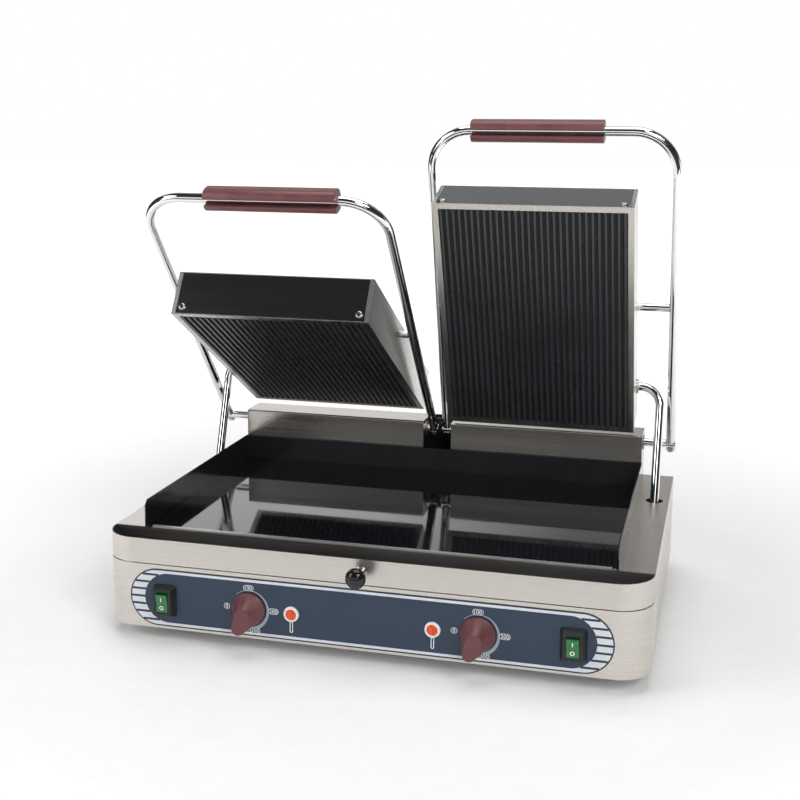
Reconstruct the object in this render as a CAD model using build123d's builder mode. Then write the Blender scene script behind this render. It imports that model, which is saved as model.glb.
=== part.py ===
from build123d import *
import os
from math import asin, atan2, cos, degrees, hypot, radians, sin

# Double contact griddle: a wide steel base with a black glass-ceramic cooking top, and two
# ribbed glass-ceramic plates on bent chrome handles, the left one half open and the right one open.
# Millimetres, +Z up, the front looks along -Y. The origin is on the table, under the middle.

os.makedirs("parts", exist_ok=True)

# Base casing
body_width = 620.0
body_depth = 415.0
lower_height = 75.0
deck_height = 104.0
front_corner = 38.0
rear_corner = 4.0
sheet = 1.2
seam_gap = 1.2
seam_inset = 1.6
flange = 8.0
foot_height = 18.0
foot_radius = 15.0
foot_setback = 62.0
foot_inset = 62.0

# Cooking top
trough_depth = 40.0
glass_width = 541.0
glass_depth = 307.0
glass_thickness = 4.0
glass_front = 45.0
glass_proud = 1.0
glass_fit = 0.4
guard_height = 32.0
guard_sheet = 1.2
guard_front = 37.0
guard_chamfer = 6.0
heater_inset = 15.0
heater_wall = 6.0
heater_height = 18.0

# Drip tray
tray_wall = 1.2
tray_floor = 2.0
tray_gap = 0.5
tray_rest = 0.3
runner_length = 190.0
runner_width = 8.0
runner_height = 9.0
runner_x = 289.0
guide_sheet = 1.2
tray_knob_radius = 11.5
tray_knob_thick = 15.0
tray_stem = 15.0
tray_travel = 65.0

# Control panel on the front of the lower casing
overlay_width = 547.0
overlay_height = 67.0
overlay_low = 3.0
overlay_thick = 0.6
dial_x = 129.7
dial_z = 34.4
knob_base_radius = 19.0
knob_top_radius = 14.0
knob_height = 21.0
pointer_reach = 25.0
pointer_width = 13.0
pointer_tip = 5.0
pointer_angle = 250.0
spindle_radius = 3.0
lamp_x = 80.0
lamp_z = 33.6
lamp_ring_radius = 10.0
lamp_lens_radius = 7.2
lamp_proud = 3.0
switch_x = 231.0
switch_z = 34.1
boot_width = 29.0
boot_height = 37.0
boot_proud = 9.0
rocker_width = 13.0
rocker_radius = 11.0
rocker_swing = 8.0
rocker_corner = 18.0
rocker_gap = 0.35
rocker_sunk = 1.5
boot_corner = 4.0
boot_taper = 24.0
switch_depth = 22.0
thermostat_size = (42.0, 34.0)
thermostat_depth = 26.0
spindle_depth = 13.0
spindle_in_knob = 12.0
knob_gap = 0.4
press_gap = 0.02

# Spring housings and axles behind the cooking top
housing_inner = 19.0
housing_outer = 271.0
housing_front = 356.0
housing_depth = 46.0
housing_height = 67.5
axle_y = 377.5
axle_z = 158.0
axle_radius = 5.0
bush_wall = 2.5
running_fit = 0.05
spring_radius = 11.5
spring_wire = 4.0
spring_inset = 30.0

# Handles
handle_reach = 417.0
leg_outer = 306.0
leg_inner = 9.0
bar_radius = 6.0
handle_bend = 50.0
stud_radius = 3.0
axle_flat = 4.0
nut_height = 5.0
nut_flats = 10.0
grip_length = 160.0
grip_radius = 15.0
grip_slot = 8.0
left_handle_angle = 50.8
right_handle_angle = 74.4

# Upper plates
plate_inner = 20.6
plate_outer = 261.4
plate_length = 313.0
plate_thickness = 54.5
pivot_reach = 192.5
pivot_above_face = 48.5
closed_gap = 0.5
left_plate_angle = 30.8
right_plate_angle = 69.6
rim_width = 7.2
rim_sheet = 1.5
rib_count = 30
rib_height = 2.0
rib_root = 5.4
rib_top = 2.6
ribbed_glass = 4.0
panel_flange = 5.0
pin_radius = 5.0
spigot_radius = 3.0
pin_entry = 6.0
screw_radius = 4.0
screw_in = 12.0
screw_up = 10.0

# Conduit tubes that carry the upper plates' wires down into the base
conduit_radius = 5.5
conduit_bend = 25.0
conduit_x = 292.0
conduit_back = 112.0
conduit_down = 7.5
conduit_length = 161.0
conduit_entry = 9.0
conduit_hole_radius = 10.5
conduit_hole_y = 300.0
gland_radius = 9.0
gland_thick = 3.0

# Rear cable gland
cable_gland_radius = 9.0
cable_gland_reach = 12.0

# Places worked out from the sizes above
front_reach = tray_stem + tray_knob_thick
y0 = -(body_depth + cable_gland_reach - front_reach) / 2
z0 = foot_height
half_width = body_width / 2
deck_z = z0 + deck_height
seam_z = z0 + lower_height
band_low = seam_z + seam_gap / 2
casing_top = seam_z - seam_gap / 2
glass_top = deck_z + glass_proud
glass_low = glass_top - glass_thickness
glass_mid_y = y0 + glass_front + glass_depth / 2
overlay_mid_z = z0 + overlay_low + overlay_height / 2
panel_face = y0 - overlay_thick
axle_at = (y0 + axle_y, z0 + axle_z)


def forward(angle):
    """Plane through the X axis that leans up by an angle, with its Y axis to the rear."""
    return Vector(0, sin(radians(angle)), cos(radians(angle)))


def handle_frame(angle):
    return Plane(origin=(0, *axle_at), x_dir=(1, 0, 0), z_dir=forward(angle))


def pivot_of(handle_angle):
    return handle_frame(handle_angle).from_local_coords(Vector(0, -pivot_reach, 0))


def plate_frame(handle_angle, plate_angle):
    return Plane(origin=pivot_of(handle_angle), x_dir=(1, 0, 0), z_dir=forward(plate_angle))


def conduit_eye(handle_angle, plate_angle):
    frame = plate_frame(handle_angle, plate_angle)
    return frame.from_local_coords(Vector(0, conduit_back, -conduit_down))


def save(part, name):
    part.label = name
    export_step(part, f"parts/{name}.step")


closed_angle = degrees(asin((glass_top + closed_gap + pivot_above_face - axle_at[1]) / pivot_reach))
face_low = -pivot_above_face
cover_top = face_low + plate_thickness
slab_low = face_low + rib_height
rim_low = slab_low - rim_sheet
slab_top = slab_low + ribbed_glass
plate_width = plate_outer - plate_inner
plate_mid = (plate_outer + plate_inner) / 2
hole_y = y0 + conduit_hole_y


def casing_outline(inset=0.0, back=0.0):
    """Plan of the base at half height of its walls: round front corners, tight rear ones."""
    left, right = -half_width + inset, half_width - inset
    front, rear = y0 + inset, y0 + body_depth - inset - back
    with BuildSketch() as outline:
        with Locations((0, (front + rear) / 2)):
            Rectangle(right - left, rear - front)
        corners = outline.vertices().group_by(Axis.Y)
        fillet(corners[0], front_corner - inset)
        fillet(corners[-1], max(rear_corner - inset, 0.5))
    return outline.sketch


# Lower casing: one wall all round, a turned-in foot flange and an inset rim that carries the deck
with BuildPart() as lower_casing:
    with BuildSketch(Plane.XY.offset(z0)):
        add(casing_outline())
        add(casing_outline(sheet), mode=Mode.SUBTRACT)
    extrude(amount=casing_top - z0)
    with BuildSketch(Plane.XY.offset(z0)):
        add(casing_outline(sheet / 2))
        add(casing_outline(sheet + flange), mode=Mode.SUBTRACT)
    extrude(amount=sheet)
    with BuildSketch(Plane.XY.offset(casing_top - 2 * sheet)):
        add(casing_outline(sheet / 2))
        add(casing_outline(seam_inset + sheet), mode=Mode.SUBTRACT)
    extrude(amount=sheet)
    with BuildSketch(Plane.XY.offset(casing_top - 2 * sheet)):
        add(casing_outline(seam_inset))
        add(casing_outline(seam_inset + sheet), mode=Mode.SUBTRACT)
    extrude(amount=band_low - tray_rest - casing_top + 2 * sheet)
    front_plane = Plane(origin=(0, y0 - 1, 0), x_dir=(1, 0, 0), z_dir=(0, 1, 0))
    for side in (-1, 1):
        for hole_x, hole_z, radius in (
            (dial_x, dial_z, spindle_radius + 1.0),
            (lamp_x, lamp_z, lamp_lens_radius - 2.0),
        ):
            with BuildSketch(front_plane):
                with Locations((side * hole_x, -(z0 + hole_z))):
                    Circle(radius)
            extrude(amount=2 + sheet, mode=Mode.SUBTRACT)
        with BuildSketch(front_plane):
            with Locations((side * switch_x, -(z0 + switch_z))):
                Rectangle(rocker_width + 2, 2 * rocker_radius + 2)
        extrude(amount=2 + sheet, mode=Mode.SUBTRACT)
    with BuildSketch(Plane(origin=(0, y0 + body_depth - 2 * sheet, 0), x_dir=(1, 0, 0), z_dir=(0, 1, 0))):
        with Locations((half_width - 80, -(z0 + lower_height / 2))):
            Circle(cable_gland_radius - 3)
    extrude(amount=4 * sheet, mode=Mode.SUBTRACT)
    # Two rows of slanted vents through each side
    for side in (-1, 1):
        vent_plane = Plane(origin=(side * (half_width - 2 * sheet), 0, 0), x_dir=(0, 1, 0), z_dir=(side, 0, 0))
        with BuildSketch(vent_plane):
            for row_z in (24.0, 50.0):
                for step in range(12):
                    centre = (y0 + 105 + 22 * step, side * (z0 + row_z))
                    with Locations(Location((centre[0], centre[1], 0), (0, 0, side * 62))):
                        SlotOverall(21, 3.2)
        extrude(amount=4 * sheet, mode=Mode.SUBTRACT)
save(lower_casing.part, "lower_casing")

# Bottom plate on the foot flange, with a clearance hole below each conduit tube
with BuildPart() as bottom_plate:
    with BuildSketch(Plane.XY.offset(z0 + sheet)):
        add(casing_outline(sheet + 1.0))
        with Locations(*[(side * conduit_x, hole_y + 10) for side in (-1, 1)]):
            SlotOverall(40, 2 * conduit_radius + 5, rotation=90, mode=Mode.SUBTRACT)
    extrude(amount=sheet)
save(bottom_plate.part, "bottom_plate")

foot_places = [
    (side * (half_width - foot_inset), y0 + at)
    for side in (-1, 1)
    for at in (foot_setback, body_depth - foot_setback)
]
with BuildPart() as feet:
    with BuildSketch(Plane.XY):
        with Locations(*foot_places):
            Circle(foot_radius - 2)
    extrude(amount=3)
    with BuildSketch(Plane.XY.offset(3)):
        with Locations(*foot_places):
            Circle(foot_radius)
    extrude(amount=foot_height + sheet - 3)
save(feet.part, "feet")

# Upper casing: deck and band in one, open where the glass lies and round the conduit tubes
with BuildPart() as upper_casing:
    with BuildSketch(Plane.XY.offset(band_low)):
        add(casing_outline())
        add(casing_outline(sheet), mode=Mode.SUBTRACT)
    extrude(amount=deck_z - band_low)
    with BuildSketch(Plane.XY.offset(deck_z - sheet)):
        add(casing_outline(sheet / 2))
    extrude(amount=sheet)
    with BuildSketch(Plane.XY.offset(band_low - 1)):
        with Locations((0, y0 + trough_depth / 2 - 10)):
            Rectangle(body_width + 4, trough_depth + 20)
    extrude(amount=deck_height, mode=Mode.SUBTRACT)
    with BuildSketch(Plane.XY.offset(deck_z - 2 * sheet)):
        with Locations((0, glass_mid_y)):
            Rectangle(glass_width + 2 * glass_fit, glass_depth + 2 * glass_fit)
        with Locations(*[(side * conduit_x, hole_y) for side in (-1, 1)]):
            Circle(conduit_hole_radius)
    extrude(amount=3 * sheet, mode=Mode.SUBTRACT)
save(upper_casing.part, "upper_casing")

with BuildPart() as lower_glass:
    with BuildSketch(Plane.XY.offset(glass_low)):
        with Locations((0, glass_mid_y)):
            Rectangle(glass_width, glass_depth)
    extrude(amount=glass_thickness)
    chamfer(lower_glass.edges().group_by(Axis.Z)[-1], 0.6)
save(lower_glass.part, "lower_glass")

# Bright strip on the deck's front edge
with BuildPart() as glass_trim:
    with BuildSketch(Plane.XY.offset(deck_z)):
        with Locations((0, y0 + (trough_depth + glass_front) / 2)):
            Rectangle(glass_width - 12, glass_front - trough_depth - glass_fit)
    extrude(amount=glass_proud + 0.4)
save(glass_trim.part, "glass_trim")

# Splash guard: folded from one sheet, round three sides of the glass
guard_x = glass_width / 2 + glass_fit
guard_rear = glass_front + glass_depth + glass_fit
with BuildPart() as splash_guard:
    for side in (-1, 1):
        with BuildSketch(Plane(origin=(side * guard_x, 0, 0), x_dir=(0, 1, 0), z_dir=(1, 0, 0))):
            with BuildLine():
                Polyline(
                    (y0 + guard_front, deck_z),
                    (y0 + guard_front, deck_z + guard_height - guard_chamfer),
                    (y0 + guard_front + guard_chamfer, deck_z + guard_height),
                    (y0 + guard_rear + guard_sheet, deck_z + guard_height),
                    (y0 + guard_rear + guard_sheet, deck_z),
                    close=True,
                )
            make_face()
        extrude(amount=side * guard_sheet)
    with BuildSketch(Plane.XY.offset(deck_z)):
        with Locations((0, y0 + guard_rear + guard_sheet / 2)):
            Rectangle(2 * guard_x + guard_sheet, guard_sheet)
    extrude(amount=guard_height)
save(splash_guard.part, "splash_guard")

# Radiant heater pans pressed up against the underside of the glass
with BuildPart() as lower_heaters:
    with BuildSketch(Plane.XY.offset(glass_low - heater_height)):
        with Locations(*[(side * plate_mid, glass_mid_y) for side in (-1, 1)]):
            Rectangle(plate_width - 2 * heater_inset, glass_depth - 2 * heater_inset)
    extrude(amount=heater_height)
    with BuildSketch(Plane.XY.offset(glass_low - heater_height + heater_wall)):
        with Locations(*[(side * plate_mid, glass_mid_y) for side in (-1, 1)]):
            Rectangle(
                plate_width - 2 * heater_inset - 2 * heater_wall,
                glass_depth - 2 * heater_inset - 2 * heater_wall,
            )
    extrude(amount=heater_height, mode=Mode.SUBTRACT)
save(lower_heaters.part, "lower_heaters")

# Drip tray: its front is the upper band of the casing's front, round both corners
tray_low = band_low
with BuildPart() as drip_tray:
    with BuildSketch(Plane.XY.offset(tray_low)):
        add(casing_outline())
        with Locations((0, y0 + trough_depth - tray_gap + body_depth / 2)):
            Rectangle(body_width + 4, body_depth, mode=Mode.SUBTRACT)
    extrude(amount=deck_z - tray_low)
    with BuildSketch(Plane.XY.offset(tray_low + tray_floor)):
        add(casing_outline(tray_wall))
        with Locations((0, y0 + trough_depth - tray_gap - tray_wall + body_depth / 2)):
            Rectangle(body_width + 4, body_depth, mode=Mode.SUBTRACT)
    extrude(amount=deck_z - tray_low, mode=Mode.SUBTRACT)
    runner_low = tray_low + guide_sheet + 1.5
    with BuildSketch(Plane.XY.offset(runner_low)):
        with Locations(*[
            (side * runner_x, y0 + trough_depth - tray_gap - 0.5 + runner_length / 2) for side in (-1, 1)
        ]):
            Rectangle(runner_width, runner_length + 1)
    extrude(amount=runner_height)
save(drip_tray.part, "drip_tray")

# Angle strips on the band's inner sides that carry the tray's runners
with BuildPart() as tray_guides:
    for side in (-1, 1):
        wall = side * (half_width - sheet)
        foot = side * (runner_x - runner_width / 2 - 2)
        with BuildSketch(Plane(origin=(0, y0 + trough_depth + 6, 0), x_dir=(1, 0, 0), z_dir=(0, -1, 0))):
            with BuildLine():
                low = runner_low - tray_rest - guide_sheet
                Polyline(
                    (wall, low),
                    (foot, low),
                    (foot, low + guide_sheet),
                    (wall - side * guide_sheet, low + guide_sheet),
                    (wall - side * guide_sheet, low + runner_height),
                    (wall, low + runner_height),
                    close=True,
                )
            make_face()
        extrude(amount=-(runner_length + 6))
save(tray_guides.part, "tray_guides")

# Round pull knob on a tapered stem, in the middle of the tray's front
knob_z = (band_low + deck_z) / 2
with BuildPart() as tray_knob:
    with BuildSketch(Plane.YZ) as knob_profile:
        with BuildLine():
            stem_end = y0 - tray_stem
            tip = y0 - tray_stem - tray_knob_thick
            Polyline((y0, knob_z), (y0, knob_z + 6.5), (stem_end, knob_z + 4.2))
            Spline(
                (stem_end, knob_z + 4.2),
                (stem_end - 0.35 * tray_knob_thick, knob_z + tray_knob_radius),
                (stem_end - 0.85 * tray_knob_thick, knob_z + 0.68 * tray_knob_radius),
                (tip, knob_z),
                tangents=((-1, 2), (0, -1)),
            )
            Line((tip, knob_z), (y0, knob_z))
        make_face()
    revolve(axis=Axis((0, y0, knob_z), (0, 1, 0)))
save(tray_knob.part, "tray_knob")

# Control overlay: a thin label with fully round ends
control_plane = Plane(origin=(0, y0, overlay_mid_z), x_dir=(1, 0, 0), z_dir=(0, -1, 0))
with BuildPart() as control_overlay:
    with BuildSketch(control_plane):
        SlotOverall(overlay_width, overlay_height)
        with Locations(*[(side * dial_x, z0 + dial_z - overlay_mid_z) for side in (-1, 1)]):
            Circle(spindle_radius + 1.0, mode=Mode.SUBTRACT)
        with Locations(*[(side * lamp_x, z0 + lamp_z - overlay_mid_z) for side in (-1, 1)]):
            Circle(lamp_lens_radius - 2.0, mode=Mode.SUBTRACT)
        with Locations(*[(side * switch_x, z0 + switch_z - overlay_mid_z) for side in (-1, 1)]):
            Rectangle(rocker_width + 2, 2 * rocker_radius + 2, mode=Mode.SUBTRACT)
    extrude(amount=overlay_thick)
save(control_overlay.part, "control_overlay")

face_plane = Plane(origin=(0, panel_face, 0), x_dir=(1, 0, 0), z_dir=(0, -1, 0))
with BuildPart() as lamp_bezels:
    with BuildSketch(face_plane):
        with Locations(*[(side * lamp_x, z0 + lamp_z) for side in (-1, 1)]):
            Circle(lamp_ring_radius)
            Circle(lamp_lens_radius, mode=Mode.SUBTRACT)
    extrude(amount=lamp_proud)
save(lamp_bezels.part, "lamp_bezels")

with BuildPart() as lamp_lenses:
    with BuildSketch(face_plane):
        with Locations(*[(side * lamp_x, z0 + lamp_z) for side in (-1, 1)]):
            Circle(lamp_lens_radius - 0.02)
    extrude(amount=lamp_proud + 1.5)
    fillet(lamp_lenses.edges().group_by(Axis.Y)[0], 1.2)
    with BuildSketch(face_plane):
        with Locations(*[(side * lamp_x, z0 + lamp_z) for side in (-1, 1)]):
            Circle(lamp_lens_radius - 2.4)
    extrude(amount=-22)
save(lamp_lenses.part, "lamp_lenses")

# Switch and thermostat bodies on the back of the casing's front wall
wall_back = Plane(origin=(0, y0 + sheet, 0), x_dir=(1, 0, 0), z_dir=(0, -1, 0))
dials = [(side * dial_x, z0 + dial_z) for side in (-1, 1)]
switches = [(side * switch_x, z0 + switch_z) for side in (-1, 1)]
rocker_hole = (rocker_width + 2 * rocker_gap, 2 * (rocker_radius + rocker_gap))
with BuildPart() as thermostats:
    with BuildSketch(wall_back):
        with Locations(*dials):
            Rectangle(*thermostat_size)
    extrude(amount=-thermostat_depth)
    with BuildSketch(wall_back):
        with Locations(*dials):
            Circle(spindle_radius + running_fit)
    extrude(amount=-spindle_depth - 1, mode=Mode.SUBTRACT)
save(thermostats.part, "thermostats")

with BuildPart() as switch_bodies:
    with BuildSketch(wall_back):
        with Locations(*switches):
            Rectangle(rocker_hole[0] + 6, rocker_hole[1] + 6)
    extrude(amount=-switch_depth)
    with BuildSketch(wall_back):
        with Locations(*switches):
            Rectangle(*rocker_hole)
    extrude(amount=-6, mode=Mode.SUBTRACT)
save(switch_bodies.part, "switch_bodies")

# Tapered rubber boots round the two rocker switches
with BuildPart() as switch_boots:
    with BuildSketch(face_plane):
        with Locations(*switches):
            RectangleRounded(boot_width, boot_height, boot_corner)
    extrude(amount=boot_proud, taper=boot_taper)
    with BuildSketch(face_plane):
        with Locations(*switches):
            Rectangle(*rocker_hole)
    extrude(amount=boot_proud + 1, mode=Mode.SUBTRACT)
save(switch_boots.part, "switch_boots")

for side, hand in ((-1, "left"), (1, "right")):
    # Spindle, and the knob pressed on it: a skirt, a tapered cap and a wedge-shaped pointer
    dial_at = (side * dial_x, z0 + dial_z)
    knob_low = panel_face - knob_gap
    with BuildPart() as spindle:
        with BuildSketch(wall_back.offset(-spindle_depth)):
            with Locations(dial_at):
                Circle(spindle_radius)
        extrude(amount=y0 + sheet + spindle_depth - knob_low + spindle_in_knob)
    save(spindle.part, f"thermostat_spindle_{hand}")

    turn = radians(pointer_angle)
    along, across = (cos(turn), sin(turn)), (-sin(turn), cos(turn))
    heel = knob_top_radius - 3
    wedge = [
        (reach * along[0] + width * across[0], reach * along[1] + width * across[1])
        for reach, width in (
            (-heel, pointer_width / 2),
            (-heel, -pointer_width / 2),
            (pointer_reach, -pointer_tip / 2),
            (pointer_reach, pointer_tip / 2),
        )
    ]
    with BuildPart() as knob:
        with BuildSketch(Plane(origin=(dial_at[0], 0, dial_at[1]), x_dir=(1, 0, 0), z_dir=(0, 0, 1))):
            with BuildLine():
                Polyline(
                    (0, knob_low),
                    (knob_base_radius, knob_low),
                    (knob_base_radius, knob_low - 4),
                    (knob_base_radius - 1.5, knob_low - 5.5),
                    (knob_top_radius, knob_low - knob_height + 2),
                    (knob_top_radius - 2, knob_low - knob_height),
                    (0, knob_low - knob_height),
                    close=True,
                )
            make_face()
        revolve(axis=Axis((dial_at[0], 0, dial_at[1]), (0, 1, 0)))
        with BuildSketch(Plane(origin=(dial_at[0], knob_low - 5, dial_at[1]), x_dir=(1, 0, 0), z_dir=(0, -1, 0))):
            with BuildLine():
                Polyline(*wedge, close=True)
            make_face()
        extrude(amount=knob_height - 3, taper=3)
        with BuildSketch(Plane(origin=(0, knob_low, 0), x_dir=(1, 0, 0), z_dir=(0, -1, 0))):
            with Locations(dial_at):
                Circle(spindle_radius + press_gap)
        extrude(amount=spindle_in_knob, mode=Mode.SUBTRACT)
    save(knob.part, f"knob_{hand}")

    # Rocker with a hollowed face, tipped to its upper side
    switch_at = (side * switch_x, z0 + switch_z)
    rocker_plane = Plane(
        origin=(switch_at[0] - rocker_width / 2, panel_face - boot_proud + rocker_sunk, switch_at[1]),
        x_dir=(0, cos(radians(rocker_swing)), sin(radians(rocker_swing))),
        z_dir=(1, 0, 0),
    )
    with BuildPart() as rocker:
        tip_out = rocker_radius * sin(radians(rocker_corner))
        tip_up = rocker_radius * cos(radians(rocker_corner))
        with BuildSketch(rocker_plane):
            with BuildLine():
                Polyline(
                    (-tip_out, tip_up),
                    (-tip_out + 2, 0),
                    (-tip_out, -tip_up),
                    (4, -tip_up + 2),
                    (7, 0),
                    (4, tip_up - 2),
                    close=True,
                )
            make_face()
        extrude(amount=rocker_width)
    save(rocker.part, f"switch_rocker_{hand}")

with BuildPart() as terminal_block:
    with BuildSketch(Plane.XY.offset(z0 + 2 * sheet)):
        with Locations((half_width - 130, y0 + body_depth - 40)):
            Rectangle(70, 22)
    extrude(amount=20)
    with BuildSketch(Plane.XY.offset(z0 + 2 * sheet + 12)):
        with Locations((half_width - 130, y0 + body_depth - 40)):
            with GridLocations(12, 0, 5, 1):
                Circle(3.2)
    extrude(amount=8, mode=Mode.SUBTRACT)
save(terminal_block.part, "terminal_block")

with BuildPart() as cable_gland:
    gland_plane = Plane(origin=(half_width - 80, y0 + body_depth, z0 + lower_height / 2), x_dir=(1, 0, 0), z_dir=(0, 1, 0))
    with BuildSketch(gland_plane):
        RegularPolygon(cable_gland_radius, 6)
    extrude(amount=cable_gland_reach / 2)
    with BuildSketch(gland_plane.offset(cable_gland_reach / 2)):
        Circle(cable_gland_radius - 1.5)
    extrude(amount=cable_gland_reach / 2)
    with BuildSketch(gland_plane):
        Circle(cable_gland_radius - 3.05)
    extrude(amount=-10)
    with BuildSketch(gland_plane.offset(-10)):
        Circle(3.6)
    extrude(amount=10 + cable_gland_reach, mode=Mode.SUBTRACT)
save(cable_gland.part, "cable_gland")

# Black bracket between the two spring housings
with BuildPart() as centre_bracket:
    with BuildSketch(Plane.XY.offset(deck_z)):
        with Locations((0, y0 + housing_front + housing_depth / 2)):
            Rectangle(2 * housing_inner, housing_depth)
    extrude(amount=2)
    with BuildSketch(Plane.XY.offset(deck_z)):
        with Locations((0, y0 + housing_front + housing_depth - 1)):
            Rectangle(2 * housing_inner, 2)
    extrude(amount=housing_height)
save(centre_bracket.part, "centre_bracket")

for side, hand, handle_angle, plate_angle in (
    (-1, "left", left_handle_angle, left_plate_angle),
    (1, "right", right_handle_angle, right_plate_angle),
):
    housing_mid = side * (housing_inner + housing_outer) / 2
    housing_length = housing_outer - housing_inner
    with BuildPart() as housing:
        with BuildSketch(Plane.XY.offset(deck_z)):
            with Locations((housing_mid, y0 + housing_front + housing_depth / 2)):
                Rectangle(housing_length, housing_depth)
        extrude(amount=housing_height)
        fillet(housing.edges().filter_by(Axis.X).group_by(Axis.Z)[-1], 2)
        with BuildSketch(Plane.XY.offset(deck_z)):
            with Locations((housing_mid, y0 + housing_front + housing_depth / 2)):
                Rectangle(housing_length - 2 * sheet, housing_depth - 2 * sheet)
        extrude(amount=housing_height - sheet, mode=Mode.SUBTRACT)
        with BuildSketch(Plane(origin=(side * housing_inner - side, *axle_at), x_dir=(0, 1, 0), z_dir=(side, 0, 0))):
            Circle(axle_radius + bush_wall)
        extrude(amount=housing_length + 2, mode=Mode.SUBTRACT)
    save(housing.part, f"spring_housing_{hand}")

    # Flanged bushes in the housing's end walls
    with BuildPart() as bushes:
        for end, outward in ((housing_inner, -1), (housing_outer, 1)):
            bush_plane = Plane(origin=(side * end, *axle_at), x_dir=(0, 1, 0), z_dir=(side * outward, 0, 0))
            with BuildSketch(bush_plane):
                Circle(axle_radius + bush_wall + 2)
            extrude(amount=1.2)
            with BuildSketch(bush_plane):
                Circle(axle_radius + bush_wall - 0.02)
            extrude(amount=-6)
            with BuildSketch(bush_plane.offset(-7)):
                Circle(axle_radius + running_fit)
            extrude(amount=10, mode=Mode.SUBTRACT)
    save(bushes.part, f"axle_bushes_{hand}")

    # Axle: round bar with a flat and a cross hole for each leg's stud
    leg_frame = handle_frame(handle_angle)
    axle_start, axle_end = leg_inner - bar_radius, leg_outer + bar_radius
    with BuildPart() as axle:
        with BuildSketch(Plane(origin=(side * axle_start, *axle_at), x_dir=(0, 1, 0), z_dir=(side, 0, 0))):
            Circle(axle_radius)
        extrude(amount=axle_end - axle_start)
        for leg_x in (leg_inner, leg_outer):
            leg_at = leg_frame.from_local_coords(Vector(side * leg_x, 0, 0))
            leg_down = leg_frame.y_dir
            for way in (-1, 1):
                flat = Plane(origin=leg_at + leg_down * way * axle_flat, x_dir=(1, 0, 0), z_dir=leg_down * way)
                with BuildSketch(flat):
                    Rectangle(2 * bar_radius + 0.6, 2 * axle_radius + 2)
                extrude(amount=axle_radius, mode=Mode.SUBTRACT)
            with BuildSketch(Plane(origin=leg_at - leg_down * 2 * axle_radius, x_dir=(1, 0, 0), z_dir=leg_down)):
                Circle(stud_radius + 0.02)
            extrude(amount=4 * axle_radius, mode=Mode.SUBTRACT)
    save(axle.part, f"axle_{hand}")

    # Spring wound round the axle inside its housing
    with BuildPart() as spring:
        spring_plane = Plane(origin=(side * (housing_inner + spring_inset), *axle_at), x_dir=(0, 1, 0), z_dir=(side, 0, 0))
        with BuildSketch(spring_plane):
            Circle(spring_radius)
            Circle(spring_radius - spring_wire, mode=Mode.SUBTRACT)
        extrude(amount=housing_length - 2 * spring_inset)
        tail_end = housing_front + housing_depth - sheet - axle_y
        tail_start = spring_radius - spring_wire / 2
        with BuildSketch(spring_plane):
            with Locations(((tail_start + tail_end) / 2, 0)):
                Rectangle(tail_end - tail_start, spring_wire)
        extrude(amount=spring_wire)
    save(spring.part, f"torsion_spring_{hand}")

    # Handle bar: a U with wide bends, each leg ending in a stud through the axle
    with BuildPart() as handle:
        with BuildLine(leg_frame):
            bend = handle_bend
            near, far = side * leg_inner, side * leg_outer
            slope = bend * (1 - cos(radians(45)))
            Line((near, -axle_flat), (near, -handle_reach + bend))
            ThreePointArc(
                (near, -handle_reach + bend),
                (near + side * slope, -handle_reach + slope),
                (near + side * bend, -handle_reach),
            )
            Line((near + side * bend, -handle_reach), (far - side * bend, -handle_reach))
            ThreePointArc(
                (far - side * bend, -handle_reach),
                (far - side * slope, -handle_reach + slope),
                (far, -handle_reach + bend),
            )
            Line((far, -handle_reach + bend), (far, -axle_flat))
        start = leg_frame.from_local_coords(Vector(near, -axle_flat, 0))
        with BuildSketch(Plane(origin=start, x_dir=(1, 0, 0), z_dir=leg_frame.y_dir * -1)):
            Circle(bar_radius)
        sweep()
        for leg_x in (near, far):
            foot_at = leg_frame.from_local_coords(Vector(leg_x, -axle_flat - 1, 0))
            with BuildSketch(Plane(origin=foot_at, x_dir=(1, 0, 0), z_dir=leg_frame.y_dir)):
                Circle(stud_radius)
            extrude(amount=2 * axle_flat + nut_height + 3)
        for leg_x, toward in ((near, 1), (far, -1)):
            spigot_at = leg_frame.from_local_coords(Vector(leg_x, -pivot_reach, 0))
            with BuildSketch(Plane(origin=spigot_at, x_dir=(0, 1, 0), z_dir=(side * toward, 0, 0))):
                Circle(spigot_radius + 0.02)
            extrude(amount=2 * bar_radius, mode=Mode.SUBTRACT)
    save(handle.part, f"handle_bar_{hand}")

    with BuildPart() as nuts:
        for leg_x in (near, far):
            nut_at = leg_frame.from_local_coords(Vector(leg_x, axle_flat, 0))
            with BuildSketch(Plane(origin=nut_at, x_dir=(1, 0, 0), z_dir=leg_frame.y_dir)):
                RegularPolygon(nut_flats / 2, 6, major_radius=False)
                Circle(stud_radius + 0.02, mode=Mode.SUBTRACT)
            extrude(amount=nut_height)
    save(nuts.part, f"leg_nuts_{hand}")

    # Grip: a sleeve with a slot along the side that faces the plate when the handle is up
    grip_centre = leg_frame.from_local_coords(Vector(side * plate_mid, -handle_reach, 0))
    with BuildPart() as grip:
        grip_plane = Plane(origin=grip_centre - Vector(grip_length / 2, 0, 0), x_dir=leg_frame.y_dir, z_dir=(1, 0, 0))
        with BuildSketch(grip_plane):
            Circle(grip_radius)
        extrude(amount=grip_length)
        fillet(grip.edges(), 3)
        with BuildSketch(grip_plane):
            Circle(bar_radius + 0.02)
            with Locations((0, grip_radius / 2 + 2)):
                Rectangle(grip_slot, grip_radius + 4)
        extrude(amount=grip_length, mode=Mode.SUBTRACT)
    save(grip.part, f"grip_{hand}")

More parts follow.
